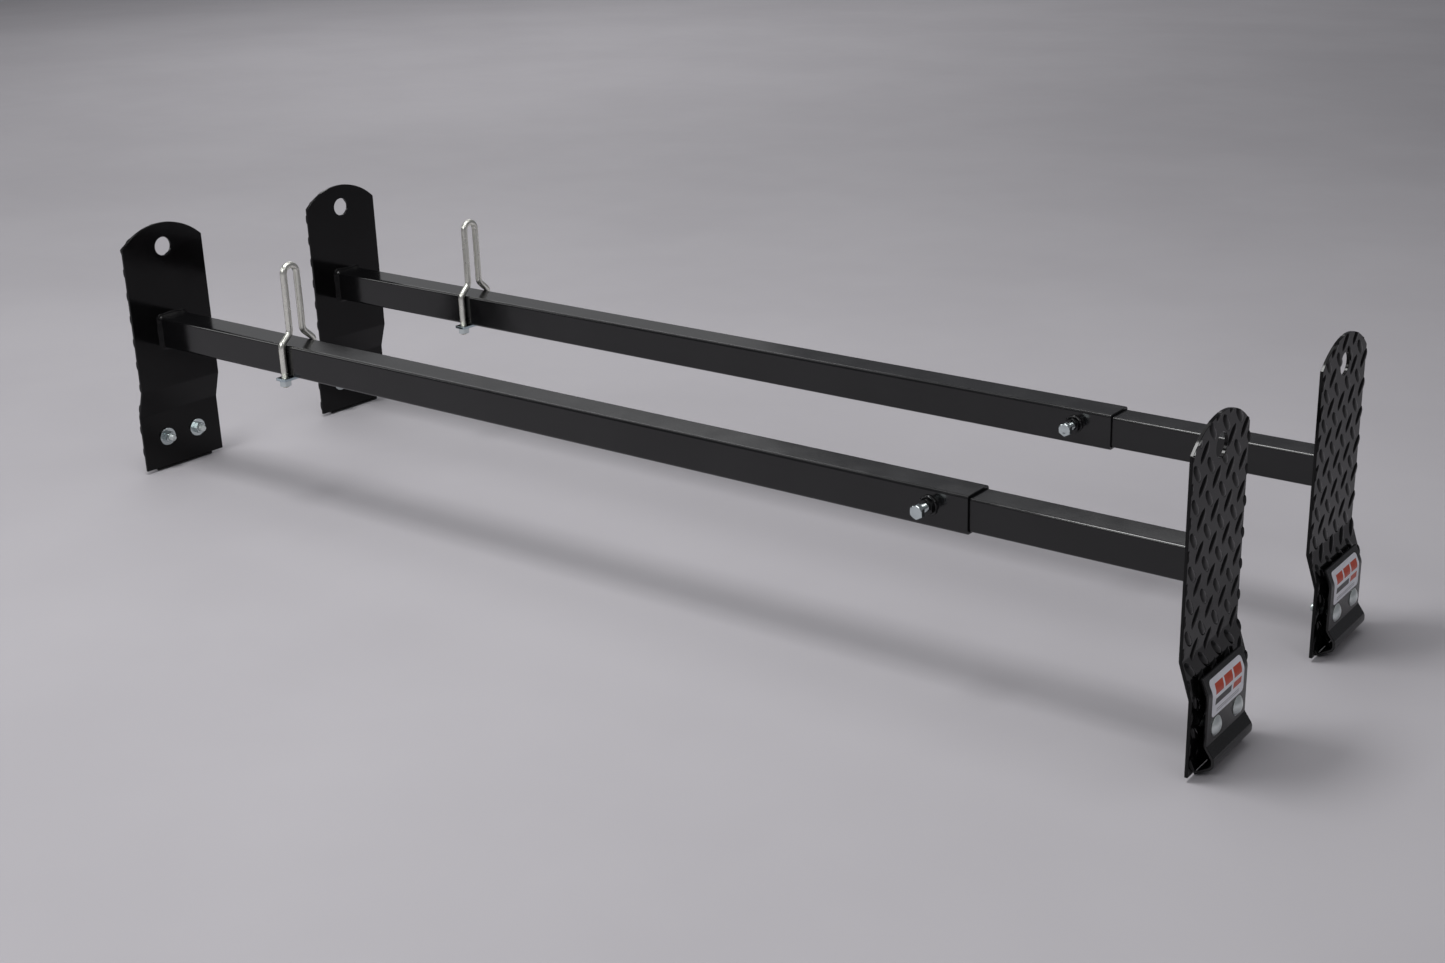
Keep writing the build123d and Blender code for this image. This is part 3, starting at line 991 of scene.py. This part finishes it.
def add_set_screw(bar):
    """The set screw, its welded nut and the weld round it."""
    tube_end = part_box(f"{bar}_outer_tube")[1].x / MM
    x = tube_end - SET_SCREW_FROM_END
    front = -OUTER_SIZE / 2
    seat_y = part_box(f"{bar}_set_screw")[0].y / MM - bar_y(bar) + SET_SCREW_HEAD_H
    tip_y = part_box(f"{bar}_set_screw")[1].y / MM - bar_y(bar)
    matrix = bar_matrix(bar, x)
    nut = moved(hex_nut(WELD_NUT_AF), facing((0, front, SET_SCREW_Z), (0, -1, 0)))
    blobs = moved(spatter(3.7 + BARS.index(bar)), facing((0, front, SET_SCREW_Z), (0, -1, 0)))
    from_shell(f"{bar}_painted_weld_nut", joined(nut, blobs), matrix, f"{bar}_bar", PAINT_TUBE, BLACK,
               [f"{bar}_weld_nut"])
    head = moved(hex_head(SET_SCREW_HEAD_H), facing((0, seat_y, SET_SCREW_Z), (0, -1, 0)))
    thread = moved(threaded_rod(tip_y - seat_y), facing((0, seat_y, SET_SCREW_Z), (0, 1, 0)))
    from_shell(f"{bar}_hex_set_screw", joined(head, thread), matrix, f"{bar}_set_screw", ZINC_HARDWARE_PAINTED_SHADE,
               SILVER, [f"{bar}_set_screw"], sharp=28)


def add_ladder_stop(bar):
    """The bent rod, strap and nuts of a bar's ladder stop."""
    low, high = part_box(f"{bar}_ladder_stop_strap")
    matrix = bar_matrix(bar, (low.x + high.x) / 2 / MM)
    body = f"{bar}_ladder_stop"
    from_shell(f"{bar}_stop_loop", stop_rod(), matrix, body, ZINC_WARM, SILVER,
               [f"{bar}_ladder_stop_rod"], sharp=50)
    from_bmesh(f"{bar}_stop_strap", stop_strap(), matrix, body, ZINC_STRAP_PAINTED_SHADE, SILVER,
               [f"{bar}_ladder_stop_strap"], bevel=0.4)
    from_shell(f"{bar}_stop_nuts", stop_nuts(), matrix, body, ZINC_HARDWARE_PAINTED_SHADE, SILVER,
               [f"{bar}_ladder_stop_nuts"], bevel=0.15, sharp=24)


# --- Stage ------------------------------------------------------------------------------------

def add_floor():
    """A wide, flat, pale floor."""
    mesh = bpy.data.meshes.new("studio_floor")
    half = 14.0
    corners = [(-half, -half, 0), (half, -half, 0), (half, half, 0), (-half, half, 0)]
    mesh.from_pydata(corners, [], [(0, 1, 2, 3)])
    mesh.materials.append(FLOOR)
    floor = bpy.data.objects.new("studio_floor", mesh)
    bpy.context.scene.collection.objects.link(floor)


def add_light(name, place, target, size, power):
    """A soft white rectangular light aimed at a point, in metres and watts."""
    data = bpy.data.lights.new(name, "AREA")
    data.shape = "RECTANGLE"
    data.size, data.size_y = size
    data.energy = power
    light = bpy.data.objects.new(name, data)
    light.location = place
    light.rotation_euler = (Vector(target) - Vector(place)).to_track_quat("-Z", "Y").to_euler()
    bpy.context.scene.collection.objects.link(light)


def add_world(strength):
    """A soft grey surround."""
    world = bpy.data.worlds.new("studio_surround")
    world.use_nodes = True
    background = world.node_tree.nodes["Background"]
    background.inputs["Color"].default_value = (0.93, 0.94, 1.0, 1.0)
    background.inputs["Strength"].default_value = strength
    bpy.context.scene.world = world


# The camera: place in metres, and angles in radians
CAMERA_PLACE = (1.2741, -1.5148, 0.7834)
CAMERA_YAW = -0.61263
CAMERA_PITCH = 0.33540
CAMERA_ROLL = 0.01227

WORLD_STRENGTH = 0.155

# Lights: name, place, target, size and power
LIGHTS = (
    ("main", (-0.32, -0.62, 2.6), (-0.32, -0.30, 0.0), (0.6, 0.9), 31),
    ("ceiling", (0.3, 0.6, 3.0), (0.3, 0.3, 0.0), (2.6, 2.2), 16),
    ("ceiling_left", (-2.1, 0.1, 2.8), (-0.9, 0.0, 0.1), (1.8, 2.2), 10),
    ("left_fill", (-3.0, -1.6, 1.6), (-0.2, 0.0, 0.1), (0.8, 1.2), 8),
    ("front_fill", (-0.2, -3.2, 2.3), (0.1, -0.5, 0.0), (2.0, 1.4), 31),
    ("right_fill", (2.4, -1.0, 2.2), (0.8, -0.1, 0.0), (1.2, 1.2), 7),
    ("back_panel", (-3.2, 2.5, 1.35), (0.0, 0.0, 0.2), (2.4, 1.3), 1.9),
    ("far_wash", (-3.4, 6.2, 3.6), (-3.9, 7.0, 0.0), (4.0, 3.0), 41),
    ("left_wash", (-3.6, 3.0, 2.8), (-3.9, 3.4, 0.0), (2.5, 2.5), 46),
)


def add_camera():
    """The camera at the photograph's angle."""
    data = bpy.data.cameras.new("camera")
    data.sensor_width = 36.0
    data.lens = 46.33
    data.shift_x = -0.0766
    data.shift_y = -0.0157
    data.clip_end = 100
    camera = bpy.data.objects.new("camera", data)
    forward = Vector((
        math.sin(CAMERA_YAW) * math.cos(CAMERA_PITCH),
        math.cos(CAMERA_YAW) * math.cos(CAMERA_PITCH),
        -math.sin(CAMERA_PITCH),
    ))
    right = forward.cross(Vector((0, 0, 1))).normalized()
    down = forward.cross(right)
    x_axis = math.cos(CAMERA_ROLL) * right + math.sin(CAMERA_ROLL) * down
    y_axis = math.sin(CAMERA_ROLL) * right - math.cos(CAMERA_ROLL) * down
    turn = Matrix((x_axis, y_axis, -forward)).transposed()
    camera.matrix_world = Matrix.Translation(CAMERA_PLACE) @ turn.to_4x4()
    bpy.context.scene.collection.objects.link(camera)
    bpy.context.scene.camera = camera


def add_stage():
    """Floor, lights, surround and camera."""
    bpy.context.scene.view_settings.view_transform = "Standard"
    add_floor()
    add_world(WORLD_STRENGTH)
    for light in LIGHTS:
        add_light(*light)
    add_camera()


for bar in BARS:
    for side in SIDES:
        add_end(bar, side)
    add_tubes(bar)
    add_set_screw(bar)
    add_ladder_stop(bar)
add_stage()
